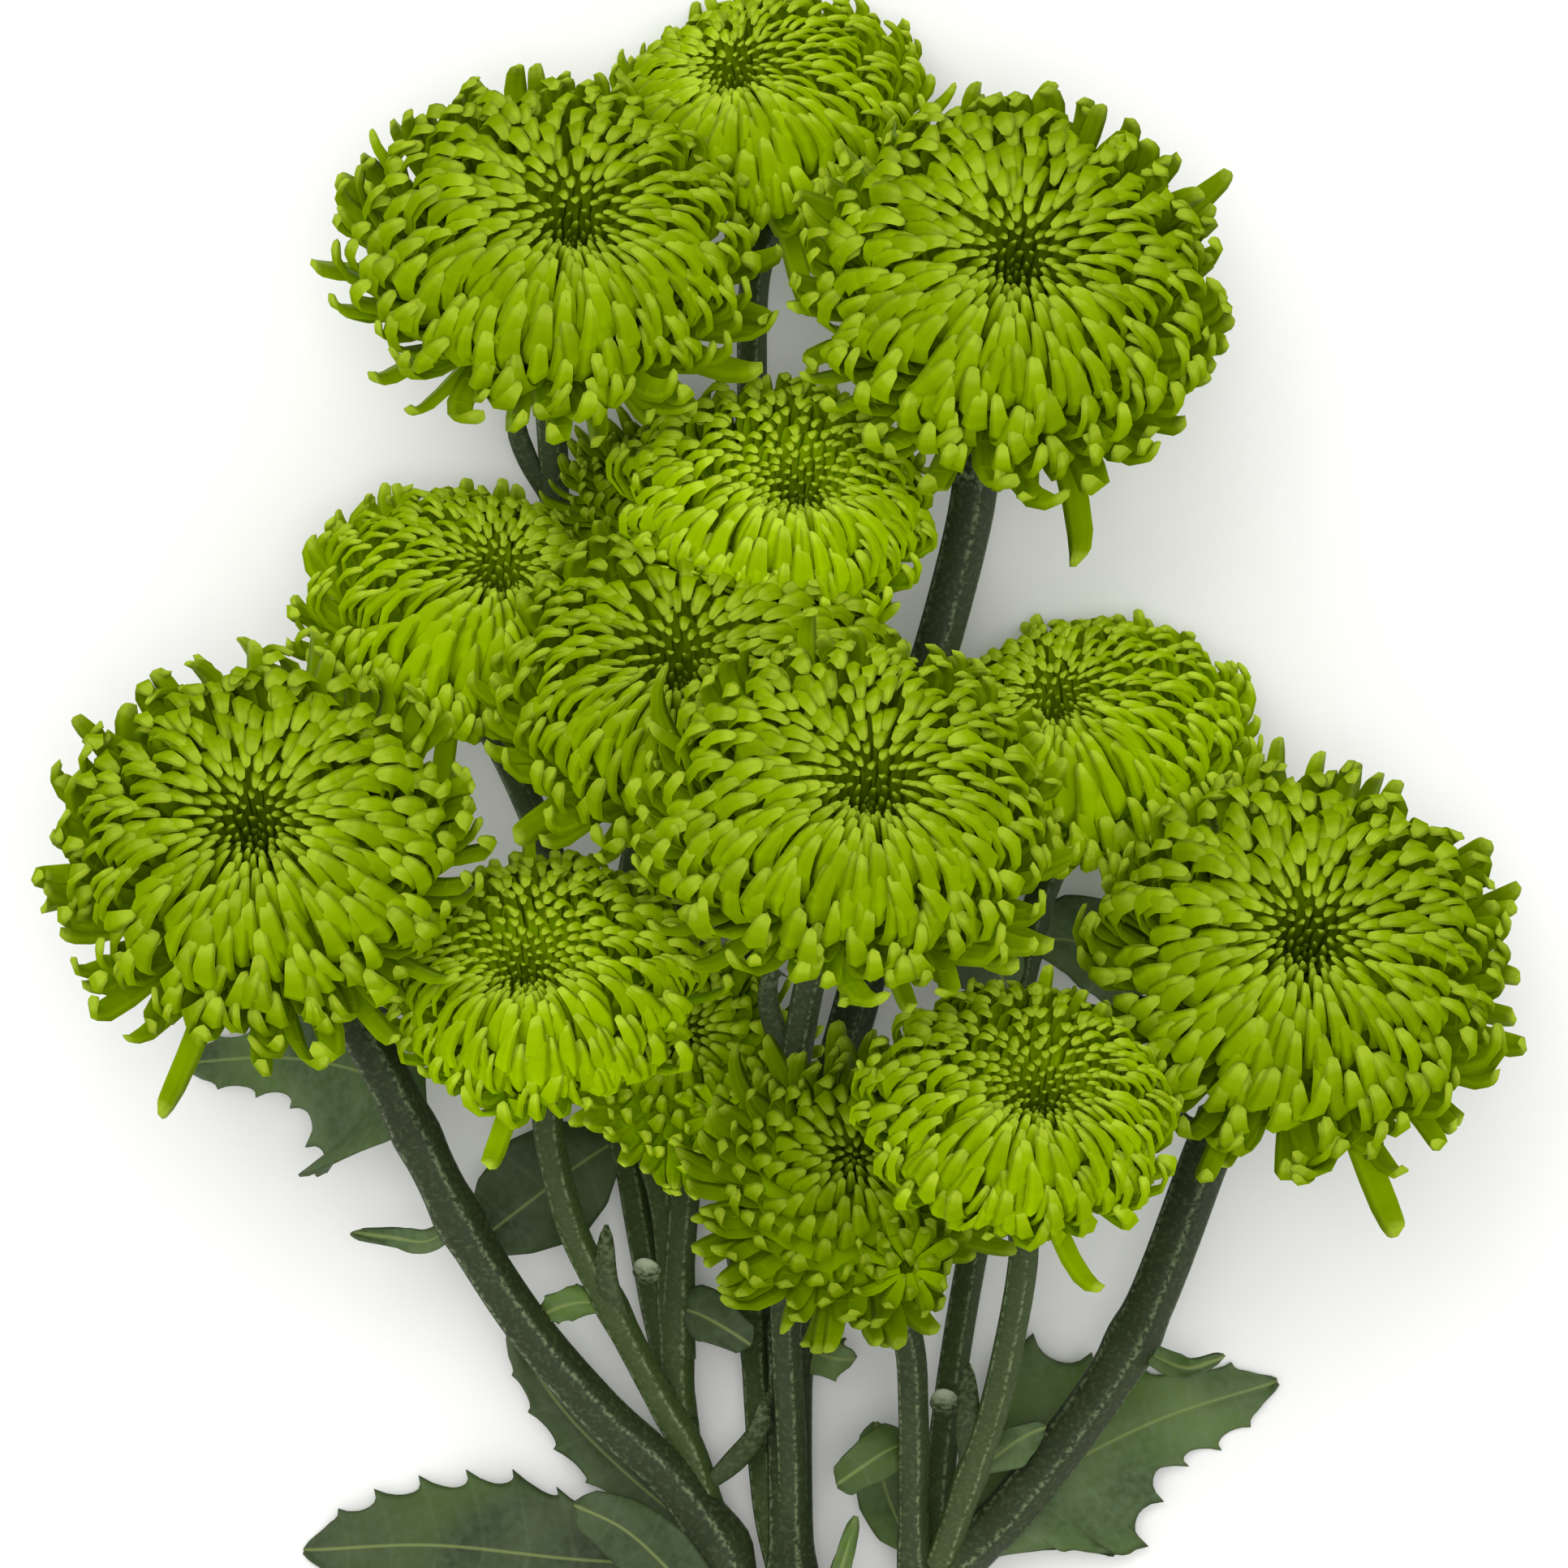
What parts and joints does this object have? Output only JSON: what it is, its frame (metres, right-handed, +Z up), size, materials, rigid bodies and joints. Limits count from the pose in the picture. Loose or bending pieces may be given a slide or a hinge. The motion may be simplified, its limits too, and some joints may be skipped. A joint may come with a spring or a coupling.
{
  "type": "pompon chrysanthemum",
  "caption": "Cut spray of green chrysanthemums lying on its side, with round heads of hooked petals on one branched stem and cut-edged leaves.",
  "frame": {"origin": "on the surface that the spray lies on, under the middle of its bounding box", "axes": "+Y along the spray from its cut end towards its blooms, +X to the right seen from above with the blooms at the top, +Z up from the surface"},
  "size_m": [0.2221, 0.3196, 0.1049],
  "materials": {
    "petal": "matt, fleshy lime-green petals with paler tips",
    "stem": "matt dark green with fine pale ridges",
    "leaf": "satin grey-green with a paler yellowish midrib"
  },
  "bodies": {
    "root": {"bloom_01": "petal", "bloom_02": "petal", "bloom_03": "petal", "bloom_04": "petal", "bloom_05": "petal", "bloom_06": "petal", "bloom_07": "petal", "bloom_08": "petal", "bloom_09": "petal", "bloom_10": "petal", "bloom_11": "petal", "bloom_12": "petal", "bloom_13": "petal", "bloom_14": "petal", "bloom_15": "petal", "leaf_01": "leaf", "leaf_02": "leaf", "leaf_03": "leaf", "leaf_04": "leaf", "leaf_05": "leaf", "leaf_06": "leaf", "leaf_07": "leaf", "leaf_08": "leaf", "leaf_09": "leaf", "leaf_10": "leaf", "leaf_11": "leaf", "leaf_12": "leaf", "leaf_13": "leaf", "leaf_14": "leaf", "leaf_15": "leaf", "leaf_16": "leaf", "leaf_17": "leaf", "stem": "stem"}
  },
  "joints": []
}
